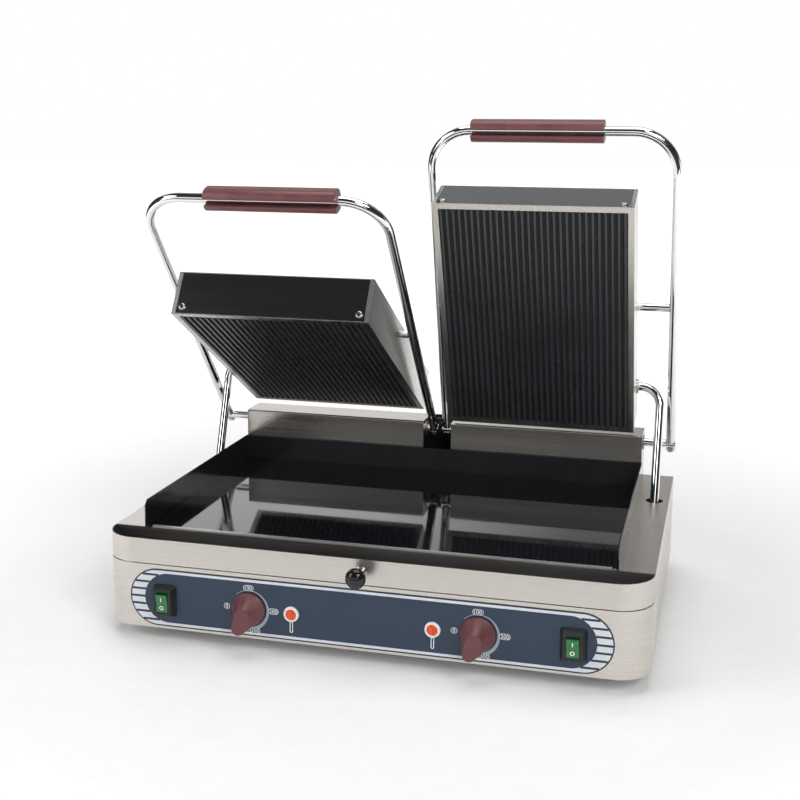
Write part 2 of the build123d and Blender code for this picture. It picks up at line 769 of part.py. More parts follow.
    # Pivot pins: spigots in the legs, round ends in the plate's side walls
    with BuildPart() as pins:
        for leg_x, plate_x, toward in ((leg_inner, plate_inner, 1), (leg_outer, plate_outer, -1)):
            pin_at = leg_frame.from_local_coords(Vector(side * leg_x, -pivot_reach, 0))
            pin_plane = Plane(origin=pin_at, x_dir=(0, 1, 0), z_dir=(side * toward, 0, 0))
            with BuildSketch(pin_plane):
                Circle(spigot_radius)
            extrude(amount=bar_radius + 1)
            with BuildSketch(pin_plane.offset(bar_radius)):
                Circle(pin_radius)
            extrude(amount=abs(plate_x - leg_x) - bar_radius + pin_entry)
    save(pins.part, f"pivot_pins_{hand}")

    # Plate cover: top, two sides with turned-in front edges, and the rear wall
    tilt = plate_frame(handle_angle, plate_angle)
    with BuildPart() as cover:
        with BuildSketch(tilt.offset(slab_low)):
            with Locations((side * plate_mid, 0)):
                Rectangle(plate_width, plate_length)
        extrude(amount=cover_top - slab_low)
        with BuildSketch(tilt.offset(slab_low)):
            with Locations((side * plate_mid, 0)):
                Rectangle(plate_width - 2 * sheet, plate_length - 2 * sheet)
        extrude(amount=cover_top - slab_low - sheet, mode=Mode.SUBTRACT)
        with BuildSketch(tilt.offset(slab_low)):
            with Locations((side * plate_mid, -plate_length / 2)):
                Rectangle(plate_width - 2 * panel_flange, 4 * sheet)
        extrude(amount=cover_top - slab_low - sheet, mode=Mode.SUBTRACT)
        for wall_x, inward in ((plate_inner, 1), (plate_outer, -1)):
            pin_eye = tilt.from_local_coords(Vector(side * (wall_x - inward), 0, 0))
            with BuildSketch(Plane(origin=pin_eye, x_dir=(0, 1, 0), z_dir=(side * inward, 0, 0))):
                Circle(pin_radius + running_fit)
            extrude(amount=pin_entry + 2, mode=Mode.SUBTRACT)
        eye = tilt.from_local_coords(Vector(side * (plate_outer - 5), conduit_back, -conduit_down))
        with BuildSketch(Plane(origin=eye, x_dir=(0, 1, 0), z_dir=(side, 0, 0))):
            Circle(gland_radius - 1.5)
        extrude(amount=6, mode=Mode.SUBTRACT)
    save(cover.part, f"plate_cover_{hand}")

    with BuildPart() as end_panel:
        with BuildSketch(tilt.offset(slab_low)):
            with Locations((side * plate_mid, -plate_length / 2 + 0.75 * sheet)):
                Rectangle(plate_width - 2 * panel_flange - 0.4, 1.5 * sheet)
        extrude(amount=cover_top - slab_low - sheet)
    save(end_panel.part, f"end_panel_{hand}")

    with BuildPart() as panel_screws:
        for screw_x in (plate_inner + screw_in, plate_outer - screw_in):
            screw_at = tilt.from_local_coords(Vector(side * screw_x, -plate_length / 2, face_low + screw_up))
            with BuildSketch(Plane(origin=screw_at, x_dir=(1, 0, 0), z_dir=tilt.y_dir * -1)):
                Circle(screw_radius)
            extrude(amount=2.2)
        fillet(panel_screws.edges().filter_by(GeomType.CIRCLE).sort_by(Axis(tilt.origin, tilt.y_dir * -1))[-2:], 1.5)
    save(panel_screws.part, f"panel_screws_{hand}")

    with BuildPart() as rim:
        with BuildSketch(tilt.offset(rim_low)):
            with Locations((side * plate_mid, 0)):
                Rectangle(plate_width, plate_length)
                Rectangle(plate_width - 2 * rim_width, plate_length - 2 * rim_width, mode=Mode.SUBTRACT)
        extrude(amount=rim_sheet)
    save(rim.part, f"plate_rim_{hand}")

    # Ribbed glass: a slab on the rim, with ribs from front to back
    field_width = plate_width - 2 * rim_width - 0.6
    pitch = (field_width - rib_root) / (rib_count - 1)
    with BuildPart() as ribbed:
        with BuildSketch(tilt.offset(slab_low)):
            with Locations((side * plate_mid, 0)):
                Rectangle(plate_width - rim_width, plate_length - rim_width)
        extrude(amount=ribbed_glass)
        rib_start = tilt.from_local_coords(Vector(side * plate_mid, -plate_length / 2 + rim_width + 0.3, slab_low))
        with BuildSketch(Plane(origin=rib_start, x_dir=(1, 0, 0), z_dir=tilt.y_dir * -1)):
            for step in range(rib_count):
                centre = -field_width / 2 + rib_root / 2 + step * pitch
                with BuildLine():
                    Polyline(
                        (centre - rib_root / 2, 0.5),
                        (centre - rib_root / 2, 0),
                        (centre - rib_top / 2, -rib_height),
                        (centre + rib_top / 2, -rib_height),
                        (centre + rib_root / 2, 0),
                        (centre + rib_root / 2, 0.5),
                        close=True,
                    )
                make_face()
        extrude(amount=-(plate_length - 2 * rim_width - 0.6))
    save(ribbed.part, f"ribbed_glass_{hand}")

    with BuildPart() as heater:
        with BuildSketch(tilt.offset(slab_top)):
            with Locations((side * plate_mid, 0)):
                Rectangle(plate_width - 2 * heater_inset, plate_length - 2 * heater_inset)
                Rectangle(
                    plate_width - 2 * heater_inset - 2 * heater_wall,
                    plate_length - 2 * heater_inset - 2 * heater_wall,
                    mode=Mode.SUBTRACT,
                )
        extrude(amount=heater_height - heater_wall)
        with BuildSketch(tilt.offset(slab_top + heater_height - heater_wall)):
            with Locations((side * plate_mid, 0)):
                Rectangle(plate_width - 2 * heater_inset, plate_length - 2 * heater_inset)
        extrude(amount=heater_wall)
    save(heater.part, f"plate_heater_{hand}")

    # Gland where the conduit tube enters the plate's outer side
    side_eye = tilt.from_local_coords(Vector(side * plate_outer, conduit_back, -conduit_down))
    with BuildPart() as conduit_gland:
        with BuildSketch(Plane(origin=side_eye, x_dir=(0, 1, 0), z_dir=(side, 0, 0))):
            Circle(gland_radius)
        extrude(amount=gland_thick)
        with BuildSketch(Plane(origin=side_eye, x_dir=(0, 1, 0), z_dir=(-side, 0, 0))):
            Circle(gland_radius - 1.52)
        extrude(amount=5)
        with BuildSketch(Plane(origin=side_eye - Vector(side * 6, 0, 0), x_dir=(0, 1, 0), z_dir=(side, 0, 0))):
            Circle(conduit_radius + running_fit)
        extrude(amount=gland_thick + 8, mode=Mode.SUBTRACT)
    save(conduit_gland.part, f"conduit_gland_{hand}")

    # Conduit tube: out of the plate's side, round a bend and down through the deck
    hub = conduit_eye(handle_angle, plate_angle)
    lean = degrees(atan2(hub.Y - hole_y, hub.Z - deck_z))
    conduit_plane = Plane(
        origin=(0, hub.Y, hub.Z),
        x_dir=(1, 0, 0),
        z_dir=(0, -cos(radians(lean)), sin(radians(lean))),
    )
    with BuildPart() as conduit:
        tube_start = plate_outer - conduit_entry
        arc_start = conduit_x - conduit_bend
        mid = conduit_bend * sin(radians(45))
        with BuildLine(conduit_plane):
            Line((side * tube_start, 0), (side * arc_start, 0))
            ThreePointArc(
                (side * arc_start, 0),
                (side * (arc_start + mid), -(conduit_bend - mid)),
                (side * conduit_x, -conduit_bend),
            )
            Line((side * conduit_x, -conduit_bend), (side * conduit_x, -conduit_length))
        with BuildSketch(Plane(origin=(side * tube_start, hub.Y, hub.Z), x_dir=(0, 1, 0), z_dir=(side, 0, 0))):
            Circle(conduit_radius)
        sweep()
    save(conduit.part, f"conduit_{hand}")
    reach = hypot(hub.Y - hole_y, hub.Z - deck_z)
    print(hand, "pivot", tilt.origin, "hub", hub, "lean", round(lean, 3), "reach", round(reach, 2))

print("closed handle angle", round(closed_angle, 4), "front", y0, "axle", axle_at)
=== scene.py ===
"""Dresses the double contact griddle: metal, glass and plastic finishes, printed panel, studio."""

from math import asin, atan2, cos, pi, radians, sin, sqrt

import bmesh
import bpy
from bpy.props import FloatProperty, FloatVectorProperty, PointerProperty
from mathutils import Matrix, Vector


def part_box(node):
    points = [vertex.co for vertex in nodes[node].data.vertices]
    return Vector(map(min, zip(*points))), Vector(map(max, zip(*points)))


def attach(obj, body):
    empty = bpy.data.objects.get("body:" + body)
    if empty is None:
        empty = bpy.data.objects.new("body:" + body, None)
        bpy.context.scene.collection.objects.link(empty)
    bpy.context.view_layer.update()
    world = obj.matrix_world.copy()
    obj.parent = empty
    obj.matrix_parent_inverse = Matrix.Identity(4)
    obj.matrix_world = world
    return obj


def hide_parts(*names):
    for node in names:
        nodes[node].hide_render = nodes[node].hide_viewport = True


bl_info = {
    "name": "Contact Griddle Dresser",
    "version": (1, 0, 0),
    "blender": (4, 5, 0),
    "location": "3D Viewport > Sidebar > Griddle",
    "description": "Gives a packed contact griddle its finishes, printed panel, light and camera",
    "category": "Object",
}

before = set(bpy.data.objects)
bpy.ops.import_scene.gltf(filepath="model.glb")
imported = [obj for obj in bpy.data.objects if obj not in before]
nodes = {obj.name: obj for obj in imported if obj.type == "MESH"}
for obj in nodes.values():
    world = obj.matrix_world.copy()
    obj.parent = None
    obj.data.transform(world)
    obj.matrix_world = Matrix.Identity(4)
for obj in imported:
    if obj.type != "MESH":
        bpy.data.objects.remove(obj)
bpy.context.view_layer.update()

MM = 0.001
SIDES = ((-1, "left"), (1, "right"))
# How far each upper plate and each handle is raised from level at rest
PLATE_TILT = {"left": radians(30.8), "right": radians(69.6)}
HANDLE_LIFT = {"left": radians(50.8), "right": radians(74.4)}
# From an axle to the middle of its handle's grip
HANDLE_REACH = 417.0 * MM
# How far each grip's slot is turned up from square to its handle
GRIP_ROLL = {"left": radians(18.0), "right": radians(6.0)}
RIB_HEIGHT = 2.0 * MM
GRIP_BORE = 6.3 * MM
# Each dial number: its angle from the panel's right, and its distance from the spindle
DIAL_MARKS = (
    ("0", radians(178), 26.2 * MM),
    ("100", radians(91), 24.2 * MM),
    ("200", 0.0, 28.8 * MM),
    ("300", radians(-74), 25.4 * MM),
)

PANEL_LOW, PANEL_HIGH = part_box("control_overlay")
PANEL_FACE = PANEL_LOW.y
PANEL_MIDDLE = (PANEL_LOW + PANEL_HIGH) / 2


class Value:
    """A shader socket that takes part in plain arithmetic."""

    def __init__(self, finish, socket):
        self.finish = finish
        self.socket = socket

    def combine(self, operation, first, second):
        maths = self.finish.node("ShaderNodeMath", {"operation": operation}, {0: first, 1: second})
        return Value(self.finish, maths.outputs[0])

    def __add__(self, other):
        return self.combine("ADD", self, other)

    def __sub__(self, other):
        return self.combine("SUBTRACT", self, other)

    def __rsub__(self, other):
        return self.combine("SUBTRACT", other, self)

    def __mul__(self, other):
        return self.combine("MULTIPLY", self, other)


class Finish:
    """A node tree under construction, with the surface shader of one material."""

    def __init__(self, name, tree=None):
        self.material = None
        if tree is None:
            self.material = bpy.data.materials.new(name)
            self.material.use_nodes = True
            tree = self.material.node_tree
        self.tree = tree
        self.shader = tree.nodes.get("Principled BSDF")

    def node(self, kind, settings=None, sockets=None):
        """Adds one node: its settings first, then the values or links of its inputs."""
        made = self.tree.nodes.new(kind)
        for name, value in (settings or {}).items():
            if name == "stops":
                self.set_stops(made.color_ramp, value)
            else:
                setattr(made, name, value)
        for name, value in (sockets or {}).items():
            if isinstance(value, Value):
                self.tree.links.new(value.socket, made.inputs[name])
            else:
                made.inputs[name].default_value = value
        return made

    @staticmethod
    def set_stops(ramp, stops):
        """Gives a colour ramp its two stops, each a position and a colour."""
        for element, (position, colour) in zip(ramp.elements, stops):
            element.position = position
            element.color = colour

    def out(self, node, name=0):
        return Value(self, node.outputs[name])

    def place(self, scale=(1.0, 1.0, 1.0), turn=(0.0, 0.0, 0.0)):
        """Object coordinates, turned and then stretched."""
        coordinates = self.out(self.node("ShaderNodeTexCoord"), "Object")
        if any(turn):
            mapping = self.node(
                "ShaderNodeMapping", {"vector_type": "POINT"}, {"Vector": coordinates, "Rotation": turn}
            )
            coordinates = self.out(mapping)
        mapping = self.node(
            "ShaderNodeMapping", {"vector_type": "POINT"}, {"Vector": coordinates, "Scale": scale}
        )
        return self.out(mapping)

    def noise(self, vector, scale=1.0, detail=3.0, roughness=0.55):
        made = self.node(
            "ShaderNodeTexNoise",
            None,
            {"Vector": vector, "Scale": scale, "Detail": detail, "Roughness": roughness},
        )
        return self.out(made, "Fac")

    def tones(self, value, colour, dark, light, span=(0.3, 0.7)):
        """A colour that goes from a darker to a lighter tone as a value crosses a span."""
        stops = ((span[0], shade(colour, dark)), (span[1], shade(colour, light)))
        return self.out(self.node("ShaderNodeValToRGB", {"stops": stops}, {"Fac": value}), "Color")

    def spread(self, value, low, high, to_low, to_high):
        """Maps a value from one range to another, and holds it there."""
        made = self.node(
            "ShaderNodeMapRange",
            {"clamp": True},
            {"Value": value, "From Min": low, "From Max": high, "To Min": to_low, "To Max": to_high},
        )
        return self.out(made, "Result")

    def along(self, axis):
        """One Object coordinate of the surface."""
        coordinates = self.out(self.node("ShaderNodeTexCoord"), "Object")
        return self.out(self.node("ShaderNodeSeparateXYZ", None, {0: coordinates}), "XYZ".index(axis))

    def mix(self, factor, first, second):
        made = self.node("ShaderNodeMix", {"data_type": "RGBA"}, {0: factor, 6: first, 7: second})
        return self.out(made, 2)

    def bump(self, height, strength, distance):
        made = self.node(
            "ShaderNodeBump", None, {"Height": height, "Strength": strength, "Distance": distance}
        )
        self.feed("Normal", self.out(made, "Normal"))

    def feed(self, socket, value):
        if isinstance(value, Value):
            self.tree.links.new(value.socket, self.shader.inputs[socket])
        else:
            self.shader.inputs[socket].default_value = value

    def set(self, **values):
        for name, value in values.items():
            self.feed(name.replace("_", " "), value)


def shade(colour, factor):
    """A lighter or darker tone of a colour, with full alpha as colour sockets want it."""
    return (*(min(channel * factor, 1.0) for channel in colour[:3]), 1.0)


def brushed_metal(name, colour, rough=(0.24, 0.4), tilt=0.0, contrast=0.1, along="x"):
    """Sheet steel with fine grain lines along one direction and a few wider, fainter bands."""
    finish = Finish(name)
    turn = (tilt, 0.0, 0.0)
    long, fine = 2.5, 1600.0
    stretch = {"x": (long, fine, fine), "y": (fine, long, fine), "round": (long, long, fine)}[along]
    wide = tuple(value if value == long else 90.0 for value in stretch)
    grain = finish.noise(finish.place(stretch, turn), detail=2.0)
    bands = finish.noise(finish.place(wide, turn), detail=2.0)
    cloud = finish.noise(finish.place((7.0, 7.0, 7.0)), detail=2.0)
    lines = grain * 0.6 + bands * 0.25 + cloud * 0.15
    finish.set(
        Metallic=1.0,
        Base_Color=finish.tones(lines, colour, 1 - contrast, 1 + contrast),
        Roughness=finish.spread(lines, 0.3, 0.7, *rough),
    )
    finish.bump(grain, 0.12, 0.0004)
    return finish.material


def tray_steel(name, colour, dark):
    """Brushed outside of the tray, and a trough darkened with painted shade where faces look in or up."""
    finish = Finish(name)
    grain = finish.noise(finish.place((2.5, 1600.0, 1600.0)), detail=2.0)
    cloud = finish.noise(finish.place((7.0, 7.0, 7.0)), detail=2.0)
    lines = grain * 0.7 + cloud * 0.3
    normal = finish.node(
        "ShaderNodeSeparateXYZ", None, {0: finish.out(finish.node("ShaderNodeNewGeometry"), "Normal")}
    )
    away = finish.along("X") * finish.out(normal, 0) + finish.along("Y") * finish.out(normal, 1)
    upward = finish.spread(finish.out(normal, 2), 0.3, 0.6, 0.0, 1.0)
    inside = 1 - finish.spread(away, 0.01, 0.05, 0.0, 1.0) * (1 - upward)
    bright = finish.tones(lines, colour, 0.94, 1.06)
    # Painted shade: the trough's faces take a much darker tone, standing in for the shade and dark
    # reflections down in it
    trough_painted_shade = finish.tones(cloud, dark, 0.7, 1.3)
    finish.set(
        Metallic=1 - inside * 0.5,
        Base_Color=finish.mix(inside, bright, trough_painted_shade),
        Roughness=finish.spread(lines, 0.3, 0.7, 0.24, 0.38) - inside * 0.12,
    )
    finish.bump(grain, 0.1, 0.0004)
    return finish.material


def polished_metal(name, colour, rough=(0.03, 0.09)):
    """Chrome: nearly a mirror, with faint wiping marks."""
    finish = Finish(name)
    marks = finish.noise(finish.place((60.0, 60.0, 60.0)), detail=4.0)
    finish.set(
        Metallic=1.0,
        Base_Color=finish.tones(marks, colour, 0.93, 1.0),
        Roughness=finish.spread(marks, 0.35, 0.75, *rough),
    )
    return finish.material


def glass_ceramic(name, colour, rough=(0.03, 0.1), coat=0.6):
    """Black glass-ceramic with faint cleaning smears."""
    finish = Finish(name)
    smear = finish.noise(finish.place((9.0, 26.0, 26.0)), detail=5.0, roughness=0.6)
    speck = finish.noise(finish.place((900.0, 900.0, 900.0)), detail=1.0)
    finish.set(
        Base_Color=finish.tones(speck, colour, 0.8, 1.5, (0.45, 0.72)),
        Roughness=finish.spread(smear, 0.4, 0.75, *rough),
        IOR=1.54,
        Coat_Weight=coat,
        Coat_Roughness=0.03,
    )
    return finish.material


def ribbed_ceramic(name, colour, plate, tilt):
    """Satin black of a ribbed plate: wiped on the crowns, duller down in the grooves and darkened there
    with painted shade.
    """
    finish = Finish(name)
    outward = Vector((0, -sin(tilt), -cos(tilt)))
    crown = max(vertex.co.dot(outward) for vertex in nodes[plate].data.vertices)
    depth = finish.along("Y") * outward.y + finish.along("Z") * outward.z
    height = finish.spread(depth, crown - RIB_HEIGHT, crown - RIB_HEIGHT * 0.15, 0.0, 1.0)
    film = finish.noise(finish.place((14.0, 14.0, 14.0)), detail=3.0)
    crowns = finish.tones(film, colour, 0.85, 1.2)
    finish.set(
        # Painted shade: the grooves take a far darker tone than the crowns
        Base_Color=finish.mix(height, shade(colour, 0.15), crowns),
        Roughness=finish.spread(film, 0.3, 0.7, 0.58, 0.66) - height * 0.34,
        IOR=1.54,
    )
    return finish.material


def moulded_plastic(name, colour, rough=(0.3, 0.46), grain=0.12, fleck=0.12):
    """Moulded plastic with a fine skin and slightly uneven colour."""
    finish = Finish(name)
    skin = finish.noise(finish.place((1500.0, 1500.0, 1500.0)), detail=2.0)
    blotch = finish.noise(finish.place((45.0, 45.0, 45.0)), detail=3.0)
    finish.set(
        Base_Color=finish.tones(blotch, colour, 1 - fleck, 1 + fleck),
        Roughness=finish.spread(blotch, 0.3, 0.7, *rough),
    )
    finish.bump(skin, grain, 0.0002)
    return finish.material


def enamelled_sheet(name, colour, rough=(0.08, 0.16)):
    """Painted or enamelled sheet with a slight ripple under the gloss."""
    finish = Finish(name)
    ripple = finish.noise(finish.place((35.0, 35.0, 35.0)), detail=2.0)
    finish.set(
        Base_Color=finish.tones(ripple, colour, 0.88, 1.12),
        Roughness=finish.spread(ripple, 0.3, 0.7, *rough),
        Coat_Weight=0.5,
        Coat_Roughness=0.05,
    )
    finish.bump(ripple, 0.04, 0.001)
    return finish.material


def lit_plastic(name, colour, glow, strength):
    """Coloured plastic with a lamp behind it, uneven as the light passes its moulded inside."""
    finish = Finish(name)
    grain = finish.noise(finish.place((420.0, 420.0, 420.0)), detail=2.0)
    finish.set(
        Base_Color=finish.tones(grain, colour, 0.75, 1.25),
        Emission_Color=finish.tones(grain, glow, 0.55, 1.0, (0.35, 0.65)),
        Emission_Strength=strength,
        Roughness=0.16,
        Coat_Weight=0.4,
    )
    return finish.material


def printed_ink(name, colour, rough=0.35, metallic=0.0):
    """Screen-printed ink with a fine, uneven lay."""
    finish = Finish(name)
    lay = finish.noise(finish.place((160.0, 160.0, 160.0)), detail=2.0)
    finish.set(
        Base_Color=finish.tones(lay, colour, 0.97, 1.03),
        Roughness=finish.spread(lay, 0.3, 0.7, rough * 0.95, rough * 1.05),
        Metallic=metallic,
    )
    return finish.material


def paint(material, *names):
    """Gives CAD nodes one material."""
    for name in names:
        target = nodes[name]
        if target.material_slots:
            for material_slot in target.material_slots:
                material_slot.material = material
        else:
            target.data.materials.append(material)


def pair(stem):
    """Names of the left and the right node of one kind."""
    return [f"{stem}_{hand}" for _, hand in SIDES]


def middle_of(node):
    """Centre of a CAD node's box."""
    low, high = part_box(node)
    return (low + high) / 2


def new_object(name, mesh, material):
    """Puts a bmesh into the scene as an object of one material."""
    data = bpy.data.meshes.new(name)
    mesh.to_mesh(data)
    mesh.free()
    data.materials.append(material)
    made = bpy.data.objects.new(name, data)
    bpy.context.scene.collection.objects.link(made)
    return made


def finished_piece(name, mesh, body, material, sharp=None):
    """Turns a bmesh into an object that rides on a body, smooth but for edges past a sharp angle."""
    bmesh.ops.recalc_face_normals(mesh, faces=mesh.faces)
    piece = new_object(name, mesh, material)
    if sharp is not None:
        piece.data.shade_smooth()
        piece.data.set_sharp_from_angle(angle=sharp)
    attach(piece, body)
    return piece


def front_place(x, z, level):
    """A matrix that stands a flat pattern on the panel's face: its +Y up, its +Z to the front."""
    stand = Matrix.Rotation(radians(90), 4, "X")
    return Matrix.Translation((x, PANEL_FACE - level, z)) @ stand


def circle(mesh, radius, segments):
    """A circle round the origin, as its vertices and its edges."""
    made = bmesh.ops.create_circle(mesh, cap_ends=False, segments=segments, radius=radius)["verts"]
    return made, list(dict.fromkeys(edge for vertex in made for edge in vertex.link_edges))


def stadium_loop(mesh, half_length, radius, segments=96):
    """Outline of a bar with round ends, as its vertices and its edges."""
    made, edges = circle(mesh, radius, segments)
    stretch = half_length - radius
    for vertex in made:
        vertex.co.x += stretch if vertex.co.x > 0 else -stretch
    return made, edges


def new_vertices(made):
    """The vertices among what an extrusion made."""
    return [item for item in made["geom"] if isinstance(item, bmesh.types.BMVert)]


def raise_sheet(mesh, thickness, faces=None):
    """Gives the mesh's flat faces, or only some of them, a thickness."""
    made = bmesh.ops.extrude_face_region(mesh, geom=list(faces or mesh.faces))
    bmesh.ops.translate(mesh, verts=new_vertices(made), vec=(0, 0, thickness))


def ring_mesh(outer, inner, segments=72):
    """A flat ring round the origin."""
    mesh = bmesh.new()
    edges = circle(mesh, outer, segments)[1] + circle(mesh, inner, segments)[1]
    bmesh.ops.bridge_loops(mesh, edges=edges)
    return mesh


def spun_ring(mesh, profile, at):
    """Turns a profile of (radius, height) points, in millimetres, once round the local Z axis."""
    earlier = set(mesh.verts)
    points = [mesh.verts.new((radius * MM, 0, height * MM)) for radius, height in profile]
    edges = [mesh.edges.new(two) for two in zip(points, points[1:])]
    bmesh.ops.spin(
        mesh, geom=points + edges, cent=(0, 0, 0), axis=(0, 0, 1), angle=2 * pi, steps=48, use_merge=True
    )
    made = [vertex for vertex in mesh.verts if vertex not in earlier]
    bmesh.ops.remove_doubles(mesh, verts=made, dist=1e-6)
    made = [vertex for vertex in mesh.verts if vertex not in earlier]
    bmesh.ops.transform(mesh, matrix=at, verts=made)


def number_mesh(number, height):
    """A plain number as a flat mesh, centred on the origin."""
    curve = bpy.data.curves.new("numbers", "FONT")
    curve.body = number
    # The font's figures are about two thirds as tall as its size
    curve.size = height * 1.5
    curve.align_x = "CENTER"
    curve.align_y = "CENTER"
    curve.resolution_u = 3
    holder = bpy.data.objects.new("numbers", curve)
    data = bpy.data.meshes.new_from_object(holder)
    mesh = bmesh.new()
    mesh.from_mesh(data)
    bmesh.ops.remove_doubles(mesh, verts=mesh.verts, dist=1e-6)
    across = [vertex.co.x for vertex in mesh.verts]
    upward = [vertex.co.y for vertex in mesh.verts]
    middle = Vector((min(across) + max(across), min(upward) + max(upward), 0)) / 2
    bmesh.ops.translate(mesh, verts=mesh.verts, vec=-middle)
    bpy.data.objects.remove(holder)
    bpy.data.meshes.remove(data)
    return mesh


class GriddleSizes(bpy.types.PropertyGroup):
    """Sizes of the panel's print, the grips and the dial knobs."""

    silver_inset: FloatProperty(
        name="Silver inset", description="Dark outline left round the silver band",
        default=1.6 * MM, unit="LENGTH",
    )
    field_inset: FloatProperty(
        name="Field inset", description="Distance from the overlay's long edges to the blue field",
        default=4.6 * MM, unit="LENGTH",
    )
    field_reach: FloatProperty(
        name="Field reach", description="Half length of the blue field", default=255.5 * MM, unit="LENGTH"
    )
    rung_width: FloatProperty(
        name="Rung width", description="Width of the dark rungs at the panel's ends",
        default=2.5 * MM, unit="LENGTH",
    )
    rung_pitch: FloatProperty(
        name="Rung pitch", description="Distance from rung to rung", default=8.8 * MM, unit="LENGTH"
    )
    number_height: FloatProperty(
        name="Number height", description="Height of the dial's numbers", default=4.3 * MM, unit="LENGTH"
    )
    print_thickness: FloatProperty(
        name="Print thickness", description="Thickness of one printed layer",
        default=0.05 * MM, unit="LENGTH",
    )
    grip_length: FloatProperty(
        name="Grip length", description="Length of each handle's grip", default=160.0 * MM, unit="LENGTH"
    )
    grip_radius: FloatProperty(
        name="Grip radius", description="Radius over the grip's corners", default=15.0 * MM, unit="LENGTH"
    )
    grip_slot: FloatProperty(
        name="Grip slot", description="Width of the slot along the grip", default=8.5 * MM, unit="LENGTH"
    )
    knob_radius: FloatProperty(
        name="Knob radius", description="Radius of a dial knob's foot", default=19.0 * MM, unit="LENGTH"
    )
    knob_height: FloatProperty(
        name="Knob height", description="How far a dial knob stands out", default=21.0 * MM, unit="LENGTH"
    )
    pointer_angle: FloatProperty(
        name="Pointer angle", description="Where the knobs point, from the panel's right",
        default=radians(250), subtype="ANGLE",
    )


class GriddleColours(bpy.types.PropertyGroup):
    """Colours of the finishes."""

    casing: FloatVectorProperty(
        name="Casing steel", description="Brushed steel of the base", subtype="COLOR", size=3,
        default=(0.64, 0.603, 0.56),
    )
    plate: FloatVectorProperty(
        name="Plate steel", description="Brushed steel of the upper plates", subtype="COLOR", size=3,
        default=(0.6, 0.59, 0.57),
    )
    phenolic: FloatVectorProperty(
        name="Brown plastic", description="Grips and dial knobs", subtype="COLOR", size=3,
        default=(0.125, 0.04, 0.043),
    )
    panel: FloatVectorProperty(
        name="Panel blue", description="Field of the control panel", subtype="COLOR", size=3,
        default=(0.014, 0.031, 0.061),
    )
    outline: FloatVectorProperty(
        name="Panel outline", description="Dark line round the panel", subtype="COLOR", size=3,
        default=(0.012, 0.02, 0.036),
    )


class GRIDDLE_OT_metal(bpy.types.Operator):
    """Finish the casings, housings, plate covers, tubes and fixings"""

    bl_idname = "griddle.metal"
    bl_label = "Metal"

    def execute(self, context):
        colours = context.scene.griddle_colours
        casing = brushed_metal(
            "casing_brushed", colours.casing, rough=(0.2, 0.34), along="round", contrast=0.06
        )
        paint(casing, "lower_casing", "upper_casing")
        # The dark tone is painted shade for the tray's trough
        paint(tray_steel("tray_brushed", colours.casing, (0.07, 0.074, 0.078)), "drip_tray")
        housing = brushed_metal("housing_brushed", shade(colours.casing, 0.86), rough=(0.15, 0.27))
        paint(housing, *pair("spring_housing"))
        for hand, tilt in PLATE_TILT.items():
            cover = brushed_metal(f"cover_{hand}", colours.plate, tilt=tilt, along="y", rough=(0.24, 0.38))
            rim = brushed_metal(f"rim_{hand}", colours.casing, tilt=tilt, along="y", rough=(0.22, 0.36))
            panel = brushed_metal(
                f"end_{hand}", (0.42, 0.43, 0.45), tilt=tilt, rough=(0.1, 0.17), contrast=0.03
            )
            paint(cover, f"plate_cover_{hand}")
            paint(rim, f"plate_rim_{hand}")
            paint(panel, f"end_panel_{hand}")
        chrome = polished_metal("bar_chrome", (0.86, 0.87, 0.88))
        paint(chrome, *pair("handle_bar"), *pair("axle"), *pair("pivot_pins"), *pair("conduit"))
        trim = brushed_metal("trim_bright", (0.85, 0.85, 0.83), rough=(0.38, 0.5), contrast=0.04)
        paint(trim, "glass_trim")
        fixing = polished_metal("fixing_steel", (0.62, 0.61, 0.58), (0.14, 0.28))
        paint(fixing, *pair("leg_nuts"), *pair("panel_screws"), *pair("conduit_gland"))
        zinc = brushed_metal("zinc_sheet", (0.5, 0.5, 0.5), rough=(0.4, 0.55))
        paint(zinc, "bottom_plate", "tray_guides", *pair("thermostat_spindle"))
        paint(brushed_metal("spring_wire", (0.3, 0.3, 0.31), rough=(0.35, 0.5)), *pair("torsion_spring"))
        paint(brushed_metal("sintered_bush", (0.3, 0.28, 0.25), rough=(0.4, 0.5)), *pair("axle_bushes"))
        return {"FINISHED"}


class GRIDDLE_OT_glass(bpy.types.Operator):
    """Finish the cooking top, the ribbed plates and the enamelled guard"""

    bl_idname = "griddle.glass"
    bl_label = "Glass-ceramic"

    def execute(self, context):
        paint(glass_ceramic("top_glass", (0.006, 0.007, 0.009)), "lower_glass")
        for hand, tilt in PLATE_TILT.items():
            plate = f"ribbed_glass_{hand}"
            paint(ribbed_ceramic(f"rib_glass_{hand}", (0.026, 0.028, 0.032), plate, tilt), plate)
        paint(enamelled_sheet("guard_enamel", (0.012, 0.013, 0.015)), "splash_guard", "centre_bracket")
        board = moulded_plastic("heater_board", (0.6, 0.58, 0.52), (0.8, 0.95), 0.3)
        paint(board, "lower_heaters", *pair("plate_heater"))
        return {"FINISHED"}


class GRIDDLE_OT_plastic(bpy.types.Operator):
    """Mix the brown plastic, and finish the switches, the feet and the inner plastic pieces"""

    bl_idname = "griddle.plastic"
    bl_label = "Plastic and rubber"

    def execute(self, context):
        brown = context.scene.griddle_colours.phenolic
        moulded_plastic("brown_phenolic", brown)
        black = moulded_plastic("black_moulding", (0.02, 0.02, 0.02))
        paint(black, "thermostats", "switch_bodies", "terminal_block", "cable_gland")
        paint(moulded_plastic("boot_rubber", (0.009, 0.009, 0.009), (0.35, 0.5), 0.05), "switch_boots")
        paint(moulded_plastic("foot_rubber", (0.02, 0.02, 0.02), (0.7, 0.85), 0.3), "feet")
        green = lit_plastic("rocker_green", (0.006, 0.13, 0.03), (0.0, 0.3, 0.04), 0.1)
        paint(green, *pair("switch_rocker"))
        return {"FINISHED"}


